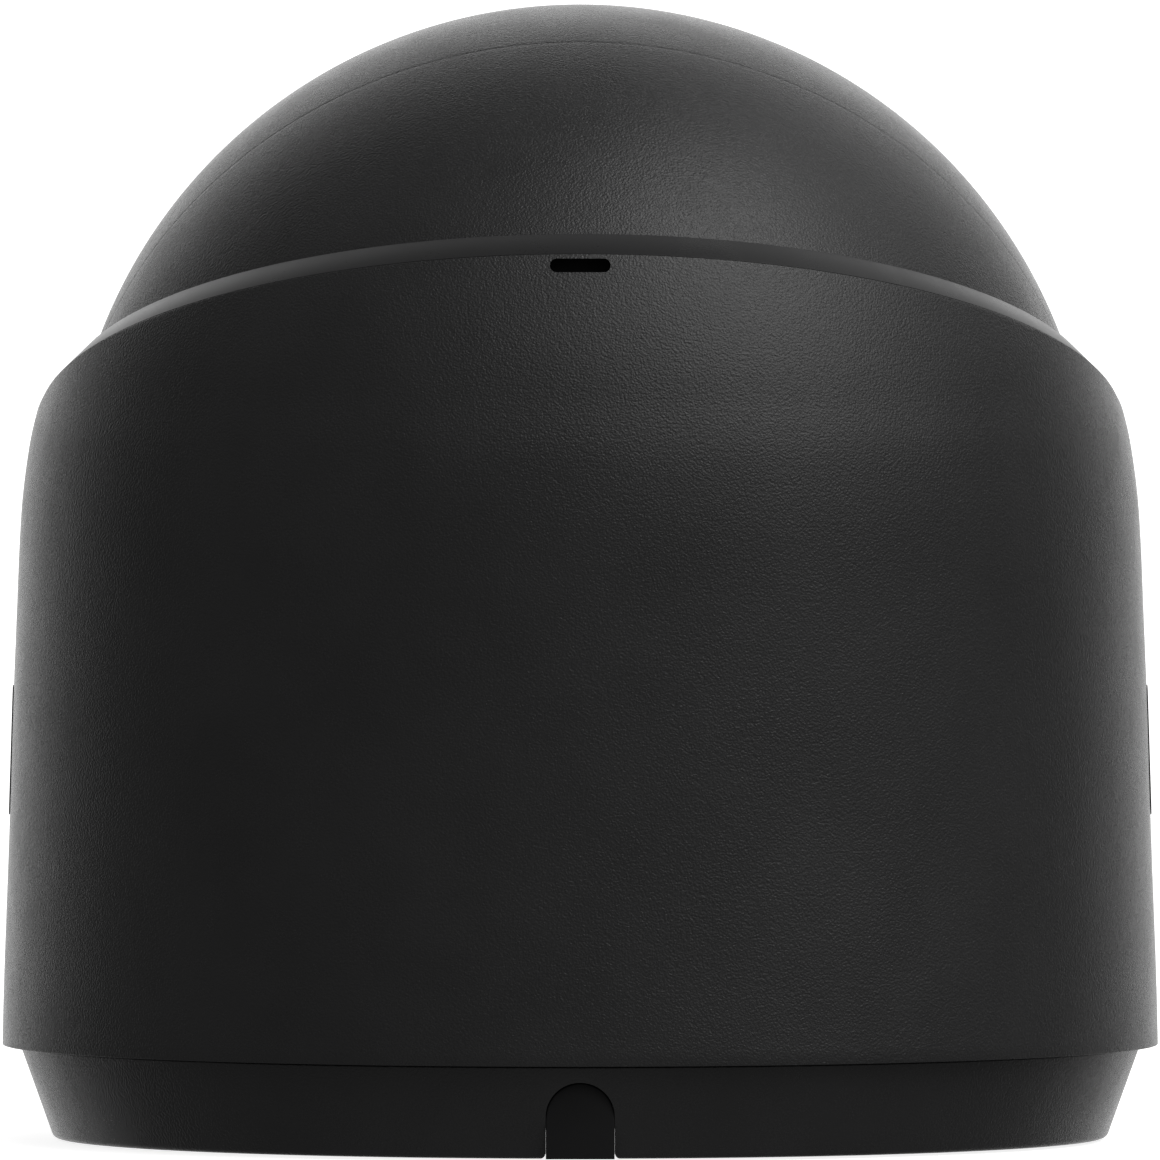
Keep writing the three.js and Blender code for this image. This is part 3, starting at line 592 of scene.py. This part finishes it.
def make_housing():
    N = 320
    fr = np.concatenate([np.linspace(0, 0.80, 46)[1:], np.linspace(0.80, 1.0, 34)[1:]])
    verts, faces = [], []
    cols = []
    cache = {}
    for i in range(N):
        j = i if i <= N // 4 or i >= 3 * N // 4 else N // 2 - i        # mirror in X
        j %= N
        if j not in cache:
            th = 2 * math.pi * j / N
            s, c = math.sin(th), math.cos(th)
            lo, hi = 20.0, 75.0
            for _ in range(34):
                z = (lo + hi) / 2
                if -outer_radius(th, z) * s * ST + (z - BALL_Z) * CT > RIM_D:
                    hi = z
                else:
                    lo = z
            zr = (lo + hi) / 2
            # (radius, height) up the wall
            col = [(42.3, HOUSING_Z0), (42.55, HOUSING_Z0)]
            f = 0.08
            for k in range(1, 6):
                t = k / 6
                p0, p1, p2 = (43.0 - f, HOUSING_Z0), (43.0, HOUSING_Z0), (wall_radius(HOUSING_Z0 + f), HOUSING_Z0 + f)
                col.append(((1 - t) ** 2 * p0[0] + 2 * t * (1 - t) * p1[0] + t * t * p2[0], (1 - t) ** 2 * p0[1] + 2 * t * (1 - t) * p1[1] + t * t * p2[1]))
            z0 = HOUSING_Z0 + f
            top = zr - 0.06
            for q in fr:
                z = z0 + q * (top - z0)
                col.append((outer_radius(th, z), z))
            # small round at the rim
            rr = outer_radius(th, zr)
            inward = 0.05
            n_r, n_z = rr - inward, zr + inward * (-ST * s) / CT * 1.0
            p0, p1, p2 = col[-1], (rr, zr), (n_r, n_z)
            for k in range(1, 6):
                t = k / 5
                col.append(((1 - t) ** 2 * p0[0] + 2 * t * (1 - t) * p1[0] + t * t * p2[0], (1 - t) ** 2 * p0[1] + 2 * t * (1 - t) * p1[1] + t * t * p2[1]))
            cache[j] = col
        col = cache[j]
        th = 2 * math.pi * i / N
        for r, z in col:
            verts.append((r * math.cos(th), r * math.sin(th), z))
        cols.append(len(col))
    M = cols[0]
    for i in range(N):
        j = (i + 1) % N
        for k in range(M - 1):
            faces.append((i * M + k, j * M + k, j * M + k + 1, i * M + k + 1))
    bc = len(verts)
    verts.append((0, 0, HOUSING_Z0))
    tc = len(verts)
    verts.append((0, -RIM_D * ST, BALL_Z + RIM_D * CT))
    for i in range(N):
        j = (i + 1) % N
        faces.append((bc, j * M, i * M))
        faces.append((tc, i * M + M - 1, j * M + M - 1))
    ob = mesh_object("housing_body", verts, faces, 25)

    arc = [(39.1 * math.sin(a * DEG), -39.1 * math.cos(a * DEG)) for a in np.linspace(0, 180, 73)]
    boolean(ob, turned("cavity", [(max(r, 0.0), z) for r, z in arc], 160, RING, loop=False))
    boolean(ob, turned("lower", [(0, 5), (40.5, 5), (40.5, 9.2), (40.35, 12), (39.6, 36), (38.7, 44), (0, 44)], 160, loop=False))
    boolean(ob, turned("step", [(0, 6.1), (39.42, 6.1), (39.42, 30), (0, 30)], 200, RING, loop=False))
    for a in (45, 135, 225, 315):
        boolean(ob, turned("boss", fillet([(1.45, 8.9), (2.6, 8.9), (2.6, 19), (1.45, 19)], [0.1, 0.3, 0.3, 0.1], 3), 32, rz(a) @ tr(37.4, 0, 0)), "UNION")
        boolean(ob, prism("rib", rounded_rect(2.2, 3.0, 0.3), 9.6, 19, rz(a) @ tr(40.5, 0, 0), bevel=0.2), "UNION")
    for sgn in (1, -1):
        d = (sgn * math.cos(25 * DEG), 0, -math.sin(25 * DEG))
        boolean(ob, turned("seat", [(0, 41.2), (3.4, 41.2), (3.6, 41.4), (3.6, 45.0), (0, 45.0)], 40, aim(d), loop=False), "UNION")
        boolean(ob, turned("pocket", [(0, 38.5), (1.3, 38.5), (1.3, 40.2), (0, 40.2)], 32, aim((sgn, 0, 0)), loop=False))
        # plain, shallow, pill-shaped recess on each side
        R = wall_radius(28.85)
        pill = rounded_rect(2.4, 9.7, 1.2, 14)
        m = tr(0, 0, 28.85) @ Matrix.Rotation((0 if sgn > 0 else 180) * DEG, 4, "Z") @ rz(90) @ Matrix.Rotation(90 * DEG, 4, "X")
        boolean(ob, prism("pill", pill, R - 0.22, R + 3, m))
    slot = rounded_rect(4.49, 1.01, 0.504, 12)
    boolean(ob, prism("slot", slot, -45, -33, tr(0, 0, 65.80) @ TO_BACK))
    e = 20 * DEG
    boolean(ob, turned("lock_hole", [(0, 40), (1.75, 40), (1.75, 44.45), (2.1, 44.8), (2.6, 50), (0, 50)], 64, aim((0, -math.cos(e), -math.sin(e))), loop=False))
    fix_normals(ob, clean=True)
    shade(ob, 24)
    return finish_piece(ob, "housing_shell")


def make_ring():
    prof = [(40.22, RING_D), (37.95, 10.27), (37.95, 9.5), (38.6, 8.4), (38.6, 6.4), (39.15, 6.4), (39.15, RING_D)]
    prof = fillet(prof, [0.03, 0.16, 0.12, 0.15, 0.1, 0.1, 0.02], 6)
    ob = turned("ball_retaining_ring", prof, 400, RING, smooth=24)
    # clear of the release slot, so that the slot reads as deep as it is
    cut = prism("ring_relief", rounded_rect(5.4, 2.4, 0.6, 6), -39.6, -30, tr(0, 0, 65.35) @ TO_BACK)
    boolean(ob, cut)
    fix_normals(ob, clean=True)
    shade(ob, 24)
    return finish_piece(ob, "retaining_ring")


def make_seal():
    prof = fillet([(37.95, 6.5), (38.3, 6.5), (38.3, 8.2), (37.7, 9.1), (37.42, 8.8)], [0.1, 0.1, 0.15, 0.12, 0.08], 4)
    return finish_piece(turned("wiper_seal", prof, 256, RING), "ball_wiper_seal")


# ------------------------------------------------------------------ ball
def sphere_arc(R, a0, a1, n):
    return [(R * math.sin(a * DEG), R * math.cos(a * DEG)) for a in np.linspace(a0, a1, n + 1)]


BI = 36.05


def edge_round(p_prev, corner, p_next, n=5):
    out = []
    for k in range(n + 1):
        t = k / n
        out.append(tuple((1 - t) ** 2 * np.array(p_prev) + 2 * t * (1 - t) * np.array(corner) + t * t * np.array(p_next)))
    return out


def make_ball_rear():
    s = SEAM - SEAM_GAP / 2
    a_s = math.degrees(math.acos(s / BALL_R))
    f = 0.035
    fa = math.degrees(f / BALL_R)
    outer = sphere_arc(BALL_R, 180 - 8.2, a_s + fa, 90)
    corner = (math.sqrt(BALL_R ** 2 - s * s), s)
    outer = outer[:-1] + edge_round(outer[-1], corner, (corner[0] - f, s), 4)
    inner = sphere_arc(BI, math.degrees(math.acos(s / BI)), 180 - 8.2 * BALL_R / BI, 48)
    ob = turned("ball_rear_half", outer + inner, 256, LENS)
    for sgn in (1, -1):
        hole = turned("seat", [(0, 34), (1.3, 34), (1.3, 40), (0, 40)], 32, aim((sgn, 0, 0)), loop=False)
        boolean(ob, hole)
        slotm = LENS @ tr(sgn * 37.0, 0, 1.5)
        boolean(ob, prism("mouth", [(-3, -1.3), (3, -1.3), (3, 1.3), (-3, 1.3)], -1.5, 1.5, slotm))
    fix_normals(ob, clean=True)
    shade(ob, 26)
    return finish_piece(ob, "ball_rear_shell")


FACE_S = 33.5


def make_ball_front():
    s = SEAM + SEAM_GAP / 2
    a_s = math.degrees(math.acos(s / BALL_R))
    f = 0.035
    fa = math.degrees(f / BALL_R)
    corner = (math.sqrt(BALL_R ** 2 - s * s), s)
    start = edge_round((corner[0] - f, s), corner, sphere_arc(BALL_R, a_s - fa, 80, 1)[0], 4)
    outer = sphere_arc(BALL_R, a_s - fa, 30.4, 90)[1:]
    # soft edge from the sphere into the flat face, then the window's seat
    face = edge_round(outer[-1], (18.72, FACE_S), (17.95, FACE_S), 7)[1:]
    face += fillet([(17.95, FACE_S), (17.5, FACE_S), (17.5, 30.4), (15.9, 30.4), (15.9, 29.0), (19.5, 29.0)], [0, 0.22, 0.15, 0.2, 0.2, 0], 4, closed=False)[1:-1]
    inner = sphere_arc(BI, math.degrees(math.acos(29.0 / BI)), math.degrees(math.acos(s / BI)), 48)
    ob = turned("ball_front_half", start + outer + face + inner, 256, LENS)
    for a in (45, 135, 225, 315):
        boolean(ob, turned("post", [(0, 6.9), (2.0, 6.9), (2.0, 24.3), (0, 24.3)], 24, LENS @ rz(a) @ tr(26.9, 0, 0), loop=False), "UNION")
    for a in (90, 210, 330):
        boolean(ob, turned("post", [(0, 26.4), (1.3, 26.4), (1.3, 29.6), (0, 29.6)], 24, LENS @ rz(a) @ tr(17.4, 0, 0), loop=False), "UNION")
    fix_normals(ob, clean=True)
    shade(ob, 26)
    return finish_piece(ob, "ball_front_shell")


def make_front_parts():
    # window: a slightly domed disc with ground edges
    prof = [(0, 31.3), (17.25, 31.3), (17.25, 32.75)] + [(r, 32.75 + 0.15 * math.cos(r / 17.25 * math.pi / 2)) for r in np.linspace(17.0, 0.6, 24)] + [(0, 32.9)]
    prof = fillet(prof, [0, 0.12, 0.2] + [0] * 25, 4, closed=False)
    finish_piece(turned("window_pane", prof, 192, LENS, loop=False), "front_window")
    finish_piece(turned("window_seal", fillet([(16.1, 30.55), (17.3, 30.55), (17.3, 31.2), (16.1, 31.2)], 0.2, 4), 160, LENS), "window_gasket")
    # light baffle with soft lips
    finish_piece(turned("lens_baffle", fillet([(7.3, 25.6), (8.9, 25.6), (8.9, 27.0), (8.3, 27.6), (8.6, 31.0), (7.7, 31.0), (7.3, 27.6)], [0.1, 0.3, 0.3, 0.3, 0.2, 0.2, 0.3], 4), 128, LENS), "lens_light_baffle")
    # lens barrel with stepped, ribbed mouth
    prof = [(4.2, 13.5), (6.5, 13.5), (6.5, 25.0), (6.9, 25.4), (6.9, 30.2), (6.5, 30.85), (6.1, 30.85), (5.9, 30.2), (5.9, 29.7), (5.6, 29.5), (5.6, 28.7), (5.3, 28.5), (5.3, 27.4), (4.2, 26.6)]
    finish_piece(turned("lens_tube", fillet(prof, 0.08, 3), 160, LENS), "lens_barrel")
    prof = [(0, 27.9), (5.1, 27.9), (5.2, 28.35)] + [(5.15 * math.sin(a * DEG), 28.35 + 2.0 * math.cos(a * DEG)) for a in np.linspace(88, 2, 24)] + [(0, 30.35)]
    finish_piece(turned("front_element", prof, 128, LENS, loop=False, smooth=50), "lens_front_glass")
    # infrared board, with a solder-mask rim, and its LEDs
    finish_piece(turned("led_board", fillet([(9.1, 24.5), (18.6, 24.5), (18.6, 26.1), (9.1, 26.1)], 0.12, 3), 160, LENS), "ir_led_board", slot="board_green")
    for i, (x, y) in enumerate([(10, 4.5), (10, -4.5), (-10, 4.5), (-10, -4.5)]):
        k = 13 / math.hypot(x, y)
        m = LENS @ tr(x * k, y * k, 0)
        base = prism(f"led_{i + 1}", rounded_rect(3.4, 3.4, 0.35, 4), 26.28, 27.2, m, bevel=0.12)
        dome = turned("dome", [(0, 26.9)] + [(1.5, 26.9), (1.5, 27.6)] + [(1.5 * math.sin(a * DEG), 27.6 + 1.55 * math.cos(a * DEG)) for a in np.linspace(86, 4, 16)] + [(0, 29.15)], 64, m, loop=False, smooth=60)
        boolean(base, dome, "UNION")
        fix_normals(base, clean=True)
        shade(base, 30)
        finish_piece(base, f"ir_led_{i + 1}")
    prof = [(0, 26.28), (1.5, 26.28), (1.5, 27.9)] + [(1.5 * math.sin(a * DEG), 27.9 + 0.65 * math.cos(a * DEG)) for a in np.linspace(86, 4, 12)] + [(0, 28.55)]
    finish_piece(turned("photocell", prof, 64, LENS @ tr(0, 13, 0), loop=False, smooth=60), "daylight_sensor")
    mic = turned("mic_can", fillet([(0, 26.28), (2.0, 26.28), (2.0, 28.2), (0.45, 28.2), (0.45, 27.9), (0, 27.9)], [0, 0.1, 0.25, 0.08, 0.05, 0], 4, closed=False), 64, LENS @ tr(0, -13, 0), loop=False)
    finish_piece(mic, "microphone")


def make_lock_screw():
    e = 20 * DEG
    m = aim((0, -math.cos(e), -math.sin(e)))
    prof = fillet([(0, 38.7), (1.2, 38.7), (1.5, 39.1), (1.5, 44.4), (0, 44.4)], [0, 0.1, 0.1, 0.18, 0], 4, closed=False)
    ob = turned("lock_screw", prof, 64, m, loop=False)
    hexa = [(0.9 * math.cos(k * 60 * DEG), 0.9 * math.sin(k * 60 * DEG)) for k in range(6)]
    boolean(ob, prism("socket", hexa, 42.9, 46, m))
    fix_normals(ob, clean=True)
    shade(ob, 28)
    return finish_piece(ob, "tilt_lock_screw")


def make_side_insert(name, sgn):
    """Plain blank insert that fills the recess on one side of the housing, a hair proud of the wall."""
    R = wall_radius(28.85)
    slope = math.atan2(wall_radius(24.0) - wall_radius(33.7), 9.7)
    frame_m = Matrix.Rotation((0 if sgn > 0 else 180) * DEG, 4, "Z") @ tr(R, 0, 28.85) @ Matrix.Rotation(-slope, 4, "Y") @ rz(90) @ Matrix.Rotation(90 * DEG, 4, "X")
    ob = prism(name, rounded_rect(2.34, 9.64, 1.16, 14), -0.15, 0.070, frame_m, bevel=0.03)
    return extra_piece(ob, "housing", "plug_black")


make_mount()
make_plug()
make_housing()
make_side_insert("side_insert_left", 1)
make_side_insert("side_insert_right", -1)
make_ring()
make_seal()
make_ball_rear()
make_ball_front()
make_front_parts()
make_lock_screw()

# ------------------------------------------------------------------ stage, light, camera
def make_floor():
    me = bpy.data.meshes.new("floor")
    n, R = 96, 40.0
    verts = [(0, 0, -0.0002)] + [(R * math.cos(2 * math.pi * i / n), R * math.sin(2 * math.pi * i / n), -0.0002) for i in range(n)]
    faces = [(0, 1 + i, 1 + (i + 1) % n) for i in range(n)]
    me.from_pydata(verts, [], faces)
    ob = bpy.data.objects.new("floor", me)
    bpy.context.scene.collection.objects.link(ob)
    mat = bpy.data.materials.new("floor_pale")
    mat.use_nodes = True
    b = mat.node_tree.nodes["Principled BSDF"]
    b.inputs["Base Color"].default_value = (0.9, 0.9, 0.9, 1)
    b.inputs["Roughness"].default_value = 0.95
    b.inputs["Specular IOR Level"].default_value = 0.1
    b.inputs["Emission Color"].default_value = (1, 1, 1, 1)
    b.inputs["Emission Strength"].default_value = 0.86
    me.materials.append(mat)
    ob.visible_glossy = False
    ob.visible_diffuse = False
    ob.visible_transmission = False
    return ob


make_floor()


# soft boxes of the studio: direction, tightness and strength, over an even fill
FILL = 0.122
SOFTBOXES = [
    ((0, -1, 0.10), 6, 1.20),
    ((-0.62, 0.35, 0.70), 14, 1.84),
    ((-0.65, 0.60, 0.35), 10, 0.20),
    ((-0.2, 0.55, 0.80), 14, 1.07),
    ((-0.375, 0.08, 0.92), 60, 3.2),
    ((-0.57, -0.42, 0.71), 20, 0.50),
    ((0, 0.6, -0.8), 3, 0.07),
]


def make_world():
    w = bpy.data.worlds.new("studio")
    bpy.context.scene.world = w
    w.use_nodes = True
    nt = w.node_tree
    nt.nodes.clear()
    out = nt.nodes.new("ShaderNodeOutputWorld")
    light = nt.nodes.new("ShaderNodeBackground")
    co = nt.nodes.new("ShaderNodeTexCoord")
    total = None
    for direction, power, strength in SOFTBOXES:
        dot = nt.nodes.new("ShaderNodeVectorMath")
        dot.operation = "DOT_PRODUCT"
        nt.links.new(co.outputs["Generated"], dot.inputs[0])
        dot.inputs[1].default_value = Vector(direction).normalized()
        chain = dot.outputs["Value"]
        for op, v in (("MAXIMUM", 0.0), ("POWER", power), ("MULTIPLY", strength), ("ADD", FILL if total is None else total)):
            m = nt.nodes.new("ShaderNodeMath")
            m.operation = op
            nt.links.new(chain, m.inputs[0])
            if isinstance(v, (int, float)):
                m.inputs[1].default_value = v
            else:
                nt.links.new(v, m.inputs[1])
            chain = m.outputs[0]
        total = chain
    nt.links.new(total, light.inputs[0])
    # the backdrop past the floor is the floor's own white
    backdrop = nt.nodes.new("ShaderNodeBackground")
    backdrop.inputs[0].default_value = (1, 1, 1, 1)
    backdrop.inputs[1].default_value = 1.0
    path = nt.nodes.new("ShaderNodeLightPath")
    mix = nt.nodes.new("ShaderNodeMixShader")
    nt.links.new(path.outputs["Is Camera Ray"], mix.inputs[0])
    nt.links.new(light.outputs[0], mix.inputs[1])
    nt.links.new(backdrop.outputs[0], mix.inputs[2])
    nt.links.new(mix.outputs[0], out.inputs[0])


make_world()

cam_data = bpy.data.cameras.new("camera")
cam = bpy.data.objects.new("camera", cam_data)
bpy.context.scene.collection.objects.link(cam)
EL = 1.78 * DEG
AIM = Vector((0.000015, 0, 0.04148))
DIST = 0.04316 / math.tan(0.62 * DEG)
cam.location = AIM + Vector((0, math.cos(EL), math.sin(EL))) * DIST
cam.rotation_euler = (AIM - cam.location).to_track_quat("-Z", "Y").to_euler()
cam_data.sensor_width = 36
cam_data.lens = 18 / (0.04316 / DIST)
cam_data.clip_start = 0.05
cam_data.clip_end = 200
bpy.context.scene.camera = cam
bpy.context.scene.view_settings.view_transform = "Standard"
bpy.context.scene.view_settings.look = "None"
